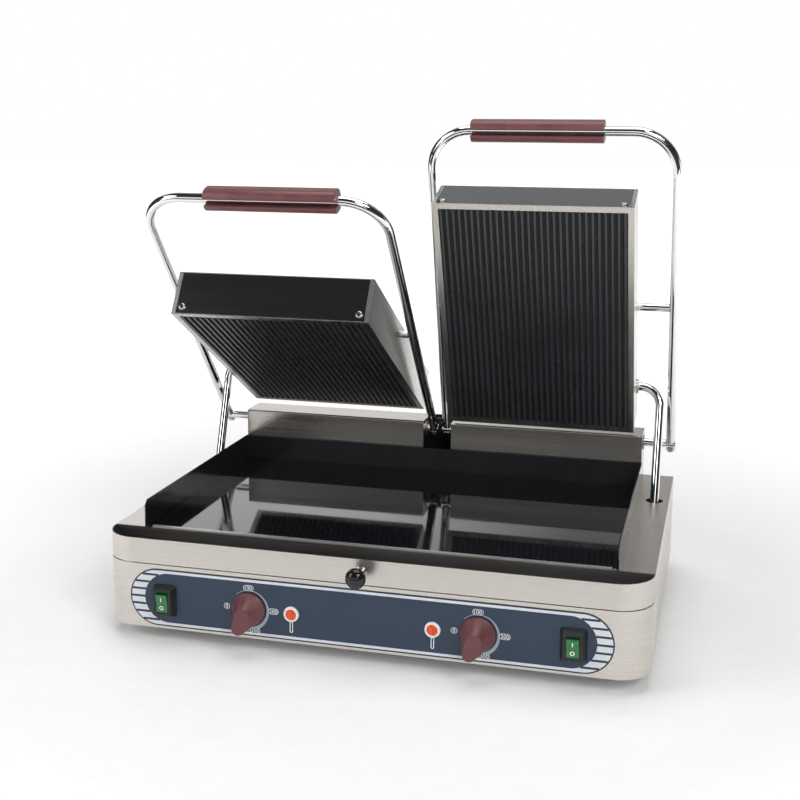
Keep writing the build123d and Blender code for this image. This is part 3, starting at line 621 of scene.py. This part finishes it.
def grip_section(mesh, sizes):
    """A grip's cross-section: a thick wall with a slot on its +X side and four grooves."""
    half_slot = sizes.grip_slot / 2
    outer_start = asin(half_slot / sizes.grip_radius)
    inner_start = asin(half_slot / GRIP_BORE)
    outer_turn, inner_turn = 2 * pi - 2 * outer_start, 2 * pi - 2 * inner_start
    flatness = 0.7 * MM
    groove_depth, groove_half = 0.6 * MM, radians(3.2)
    grooves = [radians(angle) for angle in (72, 108, 252, 288)]
    ends = [
        mesh.verts.new((radius * cos(outer_start), radius * sin(outer_start), 0))
        for radius in (GRIP_BORE, sizes.grip_radius)
    ]
    bmesh.ops.spin(
        mesh, geom=[*ends, mesh.edges.new(ends)], cent=(0, 0, 0), axis=(0, 0, 1),
        angle=outer_turn, steps=160,
    )
    for vertex in mesh.verts:
        angle = atan2(vertex.co.y, vertex.co.x) % (2 * pi)
        if on_grip_skin(vertex, sizes):
            radius = sizes.grip_radius - flatness * (1 + cos(4 * angle))
            nearest = min(abs(angle - groove) for groove in grooves)
            radius -= groove_depth * max(0, 1 - nearest / groove_half)
        else:
            radius = GRIP_BORE
            angle = inner_start + (angle - outer_start) / outer_turn * inner_turn
        vertex.co = (radius * cos(angle), radius * sin(angle), 0)


def on_grip_skin(vertex, sizes):
    """Tells the outside of a grip from its bore."""
    return vertex.co.to_2d().length > sizes.grip_radius * 0.7


def round_grip_ends(mesh, sizes):
    """Rounds the outer rim at both ends of a grip."""
    rims = [
        edge for edge in mesh.edges
        if abs(edge.verts[0].co.z - edge.verts[1].co.z) < MM / 10
        and all(on_grip_skin(vertex, sizes) for vertex in edge.verts)
    ]
    bmesh.ops.bevel(
        mesh, geom=rims, offset=1.2 * MM, offset_type="OFFSET", segments=3, profile=0.5,
        affect="EDGES", material=-1, clamp_overlap=True,
    )


def grip_place(hand, length):
    """Lays a grip along its handle's crossbar, with its slot to the front and down."""
    axle = middle_of(f"axle_{hand}")
    lift = HANDLE_LIFT[hand]
    dip = pi / 2 - lift - GRIP_ROLL[hand]
    slot_way = Vector((0, -cos(dip), -sin(dip)))
    across = Vector((1, 0, 0))
    turned = Matrix((slot_way, across.cross(slot_way), across)).transposed().to_4x4()
    start = Vector((
        middle_of(f"grip_{hand}").x - length / 2,
        axle.y - HANDLE_REACH * cos(lift),
        axle.z + HANDLE_REACH * sin(lift),
    ))
    return Matrix.Translation(start) @ turned


class GRIDDLE_OT_grips(bpy.types.Operator):
    """Make the two slotted, grooved grips that are pushed on to the handle bars"""

    bl_idname = "griddle.grips"
    bl_label = "Grips"

    def execute(self, context):
        sizes = context.scene.griddle_sizes
        brown = bpy.data.materials["brown_phenolic"]
        for _, hand in SIDES:
            mesh = bmesh.new()
            grip_section(mesh, sizes)
            raise_sheet(mesh, sizes.grip_length)
            bmesh.ops.recalc_face_normals(mesh, faces=mesh.faces)
            round_grip_ends(mesh, sizes)
            place = grip_place(hand, sizes.grip_length)
            bmesh.ops.transform(mesh, matrix=place, verts=mesh.verts)
            piece = finished_piece(
                f"slotted_grip_{hand}", mesh, f"handle_{hand}", brown, radians(28)
            )
            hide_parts(f"grip_{hand}")
        return {"FINISHED"}


class GRIDDLE_OT_knobs(bpy.types.Operator):
    """Make the dial knobs: a round foot drawn out to a fat, round-tipped pointer"""

    bl_idname = "griddle.knobs"
    bl_label = "Dial knobs"

    def execute(self, context):
        sizes = context.scene.griddle_sizes
        brown = bpy.data.materials["brown_phenolic"]
        foot, top = sizes.knob_radius, sizes.knob_height
        gap, foot_top, edge_round = 0.4 * MM, 4.6 * MM, 1.2 * MM
        heel_centre, tip_centre = 2.5 * MM, 17.5 * MM
        heel_end, tip_end = 9.4 * MM, 7.6 * MM
        rings = [
            (gap, 0, 0, foot, foot),
            (foot_top - edge_round, 0, 0, foot, foot),
            (foot_top, 0, 0, foot - edge_round, foot - edge_round),
        ]
        for drop, draw in ((edge_round, 0), (0.3 * MM, 0.4 * MM), (0, edge_round)):
            rings.append((top - drop, heel_centre, tip_centre, heel_end - draw, tip_end - draw))
        for _, hand in SIDES:
            spindle = middle_of(f"thermostat_spindle_{hand}")
            mesh = bmesh.new()
            loops = []
            for height, heel, tip, heel_radius, tip_radius in rings:
                made, edges = circle(mesh, 1.0, 72)
                loops.append(edges)
                for vertex in made:
                    forward = vertex.co.x > -1e-6
                    radius = tip_radius if forward else heel_radius
                    centre = tip if forward else heel
                    vertex.co = (centre + vertex.co.x * radius, vertex.co.y * radius, height)
            for lower, upper in zip(loops, loops[1:]):
                bmesh.ops.bridge_loops(mesh, edges=lower + upper)
            for loop in (loops[0], loops[-1]):
                bmesh.ops.contextual_create(mesh, geom=loop)
            place = front_place(spindle.x, spindle.z, 0)
            turn = Matrix.Rotation(sizes.pointer_angle, 4, "Z")
            bmesh.ops.transform(mesh, matrix=place @ turn, verts=mesh.verts)
            piece = finished_piece(
                f"pointer_knob_{hand}", mesh, f"knob_{hand}", brown, radians(18)
            )
            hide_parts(f"knob_{hand}")
        return {"FINISHED"}


class GRIDDLE_OT_tray_pull(bpy.types.Operator):
    """Make the tray's pull: a glossy black ball on a waisted steel neck"""

    bl_idname = "griddle.tray_pull"
    bl_label = "Tray pull"

    def execute(self, context):
        black = moulded_plastic("black_ball", (0.008, 0.008, 0.009), (0.07, 0.12), 0.01)
        steel = bpy.data.materials["fixing_steel"]
        pull = middle_of("tray_knob")
        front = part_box("lower_casing")[0].y
        place = front_place(pull.x, pull.z, PANEL_FACE - front)
        ball_radius, ball_half_depth, ball_out = 11.4, 9.0, 20.6
        ball = [
            (ball_radius * sin(radians(angle)), ball_out - ball_half_depth * cos(radians(angle)))
            for angle in range(0, 181, 9)
        ]
        # Points of radius and height, in millimetres
        neck = ((0.0, 0.1), (6.4, 0.1), (6.2, 1.5), (4.6, 4.0), (4.2, 7.0), (4.4, 13.0), (0.0, 13.0))
        for name, profile, material, slot in (
            ("tray_ball", ball, black, "black_plastic"),
            ("tray_neck", neck, steel, "fixing_steel"),
        ):
            mesh = bmesh.new()
            spun_ring(mesh, profile, place)
            piece = finished_piece(name, mesh, "drip_tray", material, radians(40))
            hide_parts("tray_knob")
        return {"FINISHED"}


class GRIDDLE_OT_lamps(bpy.types.Operator):
    """Make the pilot lamps: stepped orange lenses in round white bezels"""

    bl_idname = "griddle.lamps"
    bl_label = "Pilot lamps"

    def execute(self, context):
        white = moulded_plastic("lamp_white", (0.8, 0.8, 0.78), (0.2, 0.3), 0.02, 0.03)
        orange = lit_plastic("lamp_orange", (0.6, 0.055, 0.004), (1.0, 0.1, 0.0), 0.12)
        low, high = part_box("lamp_bezels")
        radius = (high.z - low.z) / 2
        # Points of radius and height, in millimetres
        bezel = ((6.1, 0.2), (6.1, 2.2), (6.6, 2.9), (7.4, 2.9), (8.3, 2.2), (8.3, 0.2), (6.1, 0.2))
        lens = (
            (0.0, 4.3), (1.5, 4.2), (1.9, 3.6), (3.2, 3.6), (3.6, 4.0), (4.3, 3.6), (4.6, 3.0), (5.5, 2.6),
            (6.0, 1.8), (6.0, 0.2), (0.0, 0.2),
        )
        for name, profile, material, slot, node in (
            ("lamp_rings", bezel, white, "white_plastic", "lamp_bezels"),
            ("lamp_domes", lens, orange, "orange_lens", "lamp_lenses"),
        ):
            mesh = bmesh.new()
            for x in (low.x + radius, high.x - radius):
                spun_ring(mesh, profile, front_place(x, low.z + radius, 0))
            piece = finished_piece(name, mesh, "base", material, radians(25))
            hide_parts(node)
        return {"FINISHED"}


class GRIDDLE_OT_panel_print(bpy.types.Operator):
    """Print the panel: dark outline, silver band with rungs, blue field"""

    bl_idname = "griddle.panel_print"
    bl_label = "Panel print"

    def execute(self, context):
        sizes = context.scene.griddle_sizes
        colours = context.scene.griddle_colours
        half_length = (PANEL_HIGH.x - PANEL_LOW.x) / 2
        half_height = (PANEL_HIGH.z - PANEL_LOW.z) / 2
        thickness = sizes.print_thickness
        middle = PANEL_MIDDLE.z
        outline_ink = printed_ink("ink_outline", colours.outline)
        paint(outline_ink, "control_overlay")

        silver_radius = half_height - sizes.silver_inset
        field_radius = half_height - sizes.field_inset
        silver = printed_ink("ink_silver", (0.6, 0.63, 0.68), 0.3)
        blue = printed_ink("ink_blue", colours.panel, 0.32)
        silver_ends = half_length - sizes.silver_inset - silver_radius
        field_ends = sizes.field_reach - field_radius
        for name, reach, radius, level, material in (
            ("panel_silver", half_length - sizes.silver_inset, silver_radius, 1, silver),
            ("panel_field", sizes.field_reach, field_radius, 2, blue),
        ):
            mesh = bmesh.new()
            _, edges = stadium_loop(mesh, reach, radius)
            bmesh.ops.contextual_create(mesh, geom=edges)
            raise_sheet(mesh, thickness)
            bmesh.ops.transform(mesh, matrix=front_place(0, middle, thickness * level), verts=mesh.verts)
            finished_piece(name, mesh, "base", material)

        mesh = bmesh.new()
        rungs_each_way = 3
        for side, _ in SIDES:
            for step in range(-rungs_each_way, rungs_each_way + 1):
                height = step * sizes.rung_pitch
                inner = field_ends + sqrt(field_radius**2 - height**2) - thickness
                outer = silver_ends + sqrt(silver_radius**2 - height**2) + thickness
                rung = Matrix.Diagonal((outer - inner, sizes.rung_width, thickness, 1))
                place = Matrix.Translation((side * (inner + outer) / 2, height, 0))
                bmesh.ops.create_cube(mesh, size=1.0, matrix=place @ rung)
        bmesh.ops.transform(mesh, matrix=front_place(0, middle, thickness * 2), verts=mesh.verts)
        finished_piece("panel_rungs", mesh, "base", outline_ink)
        return {"FINISHED"}


def dial_ring(thickness):
    """A dial's ring, which starts at the upper left and widens clockwise."""
    inner, narrow, growth = 21.0 * MM, 0.6 * MM, 4.0 * MM
    start, turn = pi * 0.75, pi * 1.3
    mesh = ring_mesh(inner * 2, inner)
    beyond = [
        face for face in mesh.faces
        if (start - atan2(*face.calc_center_median().yx)) % (2 * pi) > turn
    ]
    bmesh.ops.delete(mesh, geom=beyond, context="FACES")
    for vertex in mesh.verts:
        radius = vertex.co.to_2d().length
        clockwise = (start - atan2(vertex.co.y, vertex.co.x)) % (2 * pi)
        wanted = inner
        if radius > inner * 1.5:
            wanted += narrow + growth * max(clockwise / pi - 0.25, 0)
        vertex.co *= wanted / radius
    raise_sheet(mesh, thickness)
    return mesh


def dial_numbers(sizes):
    """A dial's numbers and the round-ended frames and plates behind them, as three flat meshes."""
    thickness = sizes.print_thickness
    frames, plates, digits = bmesh.new(), bmesh.new(), bmesh.new()
    half_height = sizes.number_height * 0.66
    line = 0.5 * MM
    for number, angle, radius in DIAL_MARKS:
        at = Matrix.Translation((radius * cos(angle), radius * sin(angle), 0))
        # A frame grows with each figure that it holds
        half_length = half_height * (0.65 + 0.43 * len(number))
        for target, margin, level in ((frames, line, 1), (plates, 0, 2)):
            made, edges = stadium_loop(target, half_length + margin, half_height + margin, 32)
            bmesh.ops.contextual_create(target, geom=edges)
            bmesh.ops.translate(target, verts=made, vec=(0, 0, thickness * level))
            bmesh.ops.transform(target, matrix=at, verts=made)
        figures = number_mesh(number, sizes.number_height)
        raised = at @ Matrix.Translation((0, 0, thickness * 3))
        bmesh.ops.transform(figures, matrix=raised, verts=figures.verts)
        data = bpy.data.meshes.new("digits")
        figures.to_mesh(data)
        figures.free()
        digits.from_mesh(data)
        bpy.data.meshes.remove(data)
    return frames, plates, digits


class GRIDDLE_OT_dial_print(bpy.types.Operator):
    """Print each dial: a ring that widens clockwise, and numbers in round-ended frames"""

    bl_idname = "griddle.dial_print"
    bl_label = "Dial print"

    def execute(self, context):
        sizes = context.scene.griddle_sizes
        thickness = sizes.print_thickness
        white = printed_ink("ink_white", (0.78, 0.8, 0.82))
        grey = printed_ink("ink_grey", (0.3, 0.34, 0.38))
        dark = bpy.data.materials["ink_outline"]
        for _, hand in SIDES:
            spindle = middle_of(f"thermostat_spindle_{hand}")
            stand = front_place(spindle.x, spindle.z, thickness * 3)
            mesh = dial_ring(thickness)
            bmesh.ops.transform(mesh, matrix=stand, verts=mesh.verts)
            finished_piece(f"dial_ring_{hand}", mesh, "base", grey)
            for mesh, name, material in zip(
                dial_numbers(sizes), ("dial_frames", "dial_plates", "dial_numbers"), (white, dark, white)
            ):
                raise_sheet(mesh, thickness * 0.9)
                bmesh.ops.transform(mesh, matrix=stand, verts=mesh.verts)
                finished_piece(f"{name}_{hand}", mesh, "base", material)
        return {"FINISHED"}


class GRIDDLE_OT_lamp_print(bpy.types.Operator):
    """Print a plain pan outline round each lamp: a ring and a handle below it"""

    bl_idname = "griddle.lamp_print"
    bl_label = "Lamp print"

    def execute(self, context):
        sizes = context.scene.griddle_sizes
        thickness = sizes.print_thickness
        white = bpy.data.materials["ink_white"]
        low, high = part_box("lamp_bezels")
        lamp_radius = (high.z - low.z) / 2
        pan_radius, pan_line = 8.8 * MM, 1.5 * MM
        handle_reach, handle_radius, handle_line = 6.6 * MM, 1.9 * MM, 0.9 * MM
        handle_drop = pan_radius + 6.2 * MM
        for side, hand in SIDES:
            x = low.x + lamp_radius if side < 0 else high.x - lamp_radius
            stand = front_place(x, low.z + lamp_radius, thickness * 3)
            mesh = ring_mesh(pan_radius, pan_radius - pan_line)
            handle, edges = [], []
            for inset in (0, handle_line):
                reach, radius = handle_reach - inset, handle_radius - inset
                made, around = stadium_loop(mesh, reach, radius, 24)
                handle += made
                edges += around
            bmesh.ops.bridge_loops(mesh, edges=edges)
            turn = Matrix.Rotation(radians(90), 4, "Z")
            shift = Matrix.Translation((0, -handle_drop, 0))
            bmesh.ops.transform(mesh, matrix=shift @ turn, verts=handle)
            raise_sheet(mesh, thickness)
            bmesh.ops.transform(mesh, matrix=stand, verts=mesh.verts)
            finished_piece(f"pan_mark_{hand}", mesh, "base", white)
        return {"FINISHED"}


class GRIDDLE_OT_rocker_marks(bpy.types.Operator):
    """Add the plain bar and ring marks to both rockers"""

    bl_idname = "griddle.rocker_marks"
    bl_label = "Rocker marks"

    def execute(self, context):
        white = printed_ink("mark_white", (0.85, 0.88, 0.85))
        swing = radians(8.0)
        bar_rise, bar_size = 4.6 * MM, (1.1 * MM, 4.6 * MM, 0.3 * MM)
        ring_drop, ring_radii, ring_thickness = 5.2 * MM, (2.5 * MM, 1.6 * MM), 0.2 * MM
        sunk = 1.55 * MM
        for _, hand in SIDES:
            middle = middle_of(f"switch_rocker_{hand}")
            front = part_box(f"switch_rocker_{hand}")[0].y
            mesh = bmesh.new()
            bar = Matrix.Translation((0, bar_rise, 0)) @ Matrix.Diagonal((*bar_size, 1))
            bmesh.ops.create_cube(mesh, size=1.0, matrix=bar)
            loops = []
            for radius in ring_radii:
                made, edges = circle(mesh, radius, 32)
                bmesh.ops.translate(mesh, verts=made, vec=(0, -ring_drop, 0))
                loops += edges
            band = bmesh.ops.bridge_loops(mesh, edges=loops)["faces"]
            raise_sheet(mesh, ring_thickness, band)
            stand = (
                Matrix.Translation((middle.x, front + sunk, middle.z))
                @ Matrix.Rotation(radians(90) + swing, 4, "X")
            )
            bmesh.ops.transform(mesh, matrix=stand, verts=mesh.verts)
            finished_piece(f"rocker_mark_{hand}", mesh, f"rocker_{hand}", white)
        return {"FINISHED"}


class GRIDDLE_OT_screw_slots(bpy.types.Operator):
    """Lay a dark cross on each end panel screw, painted shade for its cross recess"""

    bl_idname = "griddle.screw_slots"
    bl_label = "Screw recesses"

    def execute(self, context):
        # Painted shade: near-black crosses stand in for the shadow in each screw's recess
        dark = moulded_plastic("recess_painted_shade", (0.01, 0.01, 0.01))
        head_radius, head_rise = 4.0 * MM, 0.95 * MM
        arm_size = Matrix.Diagonal((3.8 * MM, 0.8 * MM, 0.4 * MM, 1))
        for _, hand in SIDES:
            low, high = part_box(f"panel_screws_{hand}")
            tilt = PLATE_TILT[hand]
            outward = Vector((0, -cos(tilt), sin(tilt)))
            turn = Matrix.Rotation(radians(90) - tilt, 4, "X")
            middle = (low + high) / 2
            mesh = bmesh.new()
            for x in (low.x + head_radius, high.x - head_radius):
                at = Matrix.Translation(Vector((x, middle.y, middle.z)) + outward * head_rise)
                for arm_turn in (radians(35), radians(125)):
                    arm = Matrix.Rotation(arm_turn, 4, "Z")
                    bmesh.ops.create_cube(mesh, size=1.0, matrix=at @ turn @ arm @ arm_size)
            finished_piece(f"screw_cross_{hand}", mesh, f"plate_{hand}", dark)
        return {"FINISHED"}


def studio_floor():
    """A pale floor that glows more and more away from the griddle, up to plain white."""
    paper = Finish("floor_pale")
    white = (1.0, 1.0, 1.0)
    spot = paper.out(paper.node("ShaderNodeTexCoord"), "Object")
    away = paper.out(paper.node("ShaderNodeVectorMath", {"operation": "LENGTH"}, {0: spot}), "Value")
    grain = paper.noise(paper.place((40.0, 40.0, 40.0)))
    glow = paper.spread(away, 0.5, 2.0, 0.04, 1.0)
    paper.set(
        Base_Color=paper.tones(grain, white, 0.9, 0.93),
        Roughness=0.8,
        Emission_Color=paper.tones(glow, white, 0.0, 1.0, (0.0, 1.0)),
        Emission_Strength=1.0,
    )
    mesh = bmesh.new()
    bmesh.ops.create_grid(mesh, x_segments=1, y_segments=1, size=14.0)
    floor = new_object("floor", mesh, paper.material)


def studio_sky(scene):
    """A white horizon under a dark ceiling, dark at both sides, and lighter behind the griddle."""
    world = bpy.data.worlds.new("studio")
    world.use_nodes = True
    scene.world = world
    sky = Finish("studio", world.node_tree)
    direction = sky.node("ShaderNodeTexCoord")
    split = sky.node("ShaderNodeSeparateXYZ", None, {0: sky.out(direction, "Generated")})
    x, y, z = (sky.out(split, axis) for axis in range(3))
    behind = sky.spread(y, -0.1, 0.5, 0.0, 1.0)
    left = sky.spread(x, -0.1, -0.5, 0.0, 1.0) * behind
    right = sky.spread(x, -0.35, -0.05, 0.0, 1.0) * behind * sky.spread(z, 0.125, 0.2, 0.0, 1.0)
    height = z + right * 0.3 - left * 0.25 + (1 - behind) * 0.24
    overhead = sky.spread(height, 0.3, 0.55, 0.0, 1.0)
    flanks = sky.spread(x * x, 0.5, 0.75, 0.0, 1.0) * sky.spread(z, 0.02, 0.08, 0.0, 1.0)
    tone = (1 - overhead * (0.97 - behind * 0.27)) * (1 - flanks * 0.85)
    background = world.node_tree.nodes["Background"]
    world.node_tree.links.new(tone.socket, background.inputs["Color"])
    background.inputs["Strength"].default_value = 1.0


def studio_cards():
    """Black cards that only reflections show: one at each side, one flat before the griddle."""
    black = printed_ink("card_black", (0.012, 0.012, 0.012), 0.9)
    wall, sheet = (0, 0, 1.2), (0, -2.4, 0)
    for name, near, far, bottom, spread in (
        ("card_left", (-1.5, -0.9), (-1.5, 0.6), 0.02, wall),
        ("card_right", (0.95, -1.7), (1.7, -0.1), 0.02, wall),
        ("card_front", (-1.4, -0.72), (1.4, -0.72), 0.003, sheet),
    ):
        mesh = bmesh.new()
        corners = [mesh.verts.new((*spot, bottom)) for spot in (near, far)]
        made = bmesh.ops.extrude_edge_only(mesh, edges=[mesh.edges.new(corners)])
        bmesh.ops.translate(mesh, verts=new_vertices(made), vec=spread)
        card = new_object(name, mesh, black)
        card.visible_camera = card.visible_diffuse = card.visible_shadow = False


def studio_lights(scene):
    """Three soft lights, aimed at the griddle."""
    target = Vector((0, 0, 0.2))
    for name, place, size, power in (
        ("key", (1.5, -1.9, 1.7), 1.4, 42.0),
        ("fill", (-1.9, -1.3, 1.2), 1.3, 20.0),
        ("top", (0.0, 0.1, 2.3), 1.8, 27.0),
    ):
        light = bpy.data.lights.new(name, "AREA")
        light.size = size
        light.energy = power
        lamp = bpy.data.objects.new(name, light)
        scene.collection.objects.link(lamp)
        lamp.location = place
        aim = target - lamp.location
        lamp.rotation_euler = aim.to_track_quat("-Z", "Y").to_euler()


def photo_camera(scene):
    """The camera that the photograph's straight edges lead to."""
    place = (0.3736, -1.4465, 0.5952)
    yaw, pitch, roll = 0.2546, 0.1558, 0.0052
    forward = Vector((-sin(yaw) * cos(pitch), cos(yaw) * cos(pitch), -sin(pitch)))
    level_right = Vector((cos(yaw), sin(yaw), 0))
    level_up = level_right.cross(forward)
    right = cos(roll) * level_right + sin(roll) * level_up
    up = cos(roll) * level_up - sin(roll) * level_right
    camera_data = bpy.data.cameras.new("photo_view")
    camera_data.sensor_width = 36.0
    camera_data.lens = 56.75
    camera_data.shift_x = -0.0076
    camera_data.shift_y = -0.1081
    camera = bpy.data.objects.new("photo_view", camera_data)
    scene.collection.objects.link(camera)
    turned = Matrix((right, up, -forward)).transposed().to_4x4()
    camera.matrix_world = Matrix.Translation(place) @ turned
    scene.camera = camera


class GRIDDLE_OT_studio(bpy.types.Operator):
    """Set the pale floor, the sky, the black cards, the soft lights and the camera"""

    bl_idname = "griddle.studio"
    bl_label = "Studio and camera"

    def execute(self, context):
        studio_floor()
        studio_sky(context.scene)
        studio_cards()
        studio_lights(context.scene)
        photo_camera(context.scene)
        context.scene.view_settings.view_transform = "Standard"
        return {"FINISHED"}


OPERATORS = (
    GRIDDLE_OT_metal,
    GRIDDLE_OT_glass,
    GRIDDLE_OT_plastic,
    GRIDDLE_OT_grips,
    GRIDDLE_OT_knobs,
    GRIDDLE_OT_tray_pull,
    GRIDDLE_OT_lamps,
    GRIDDLE_OT_panel_print,
    GRIDDLE_OT_dial_print,
    GRIDDLE_OT_lamp_print,
    GRIDDLE_OT_rocker_marks,
    GRIDDLE_OT_screw_slots,
    GRIDDLE_OT_studio,
)


class GRIDDLE_PT_steps(bpy.types.Panel):
    """Lists the dressing steps and their settings"""

    bl_label = "Griddle"
    bl_idname = "GRIDDLE_PT_steps"
    bl_space_type = "VIEW_3D"
    bl_region_type = "UI"
    bl_category = "Griddle"

    def draw(self, context):
        for settings in (context.scene.griddle_sizes, context.scene.griddle_colours):
            for name in settings.__annotations__:
                self.layout.prop(settings, name)
        for operator in OPERATORS:
            self.layout.operator(operator.bl_idname)


def register():
    for item in (GriddleSizes, GriddleColours, *OPERATORS, GRIDDLE_PT_steps):
        bpy.utils.register_class(item)
    bpy.types.Scene.griddle_sizes = PointerProperty(type=GriddleSizes)
    bpy.types.Scene.griddle_colours = PointerProperty(type=GriddleColours)


def unregister():
    del bpy.types.Scene.griddle_colours
    del bpy.types.Scene.griddle_sizes
    for item in reversed((GriddleSizes, GriddleColours, *OPERATORS, GRIDDLE_PT_steps)):
        bpy.utils.unregister_class(item)


def main():
    register()
    for operator in OPERATORS:
        group, name = operator.bl_idname.split(".")
        getattr(getattr(bpy.ops, group), name)()


if __name__ == "__main__":
    main()
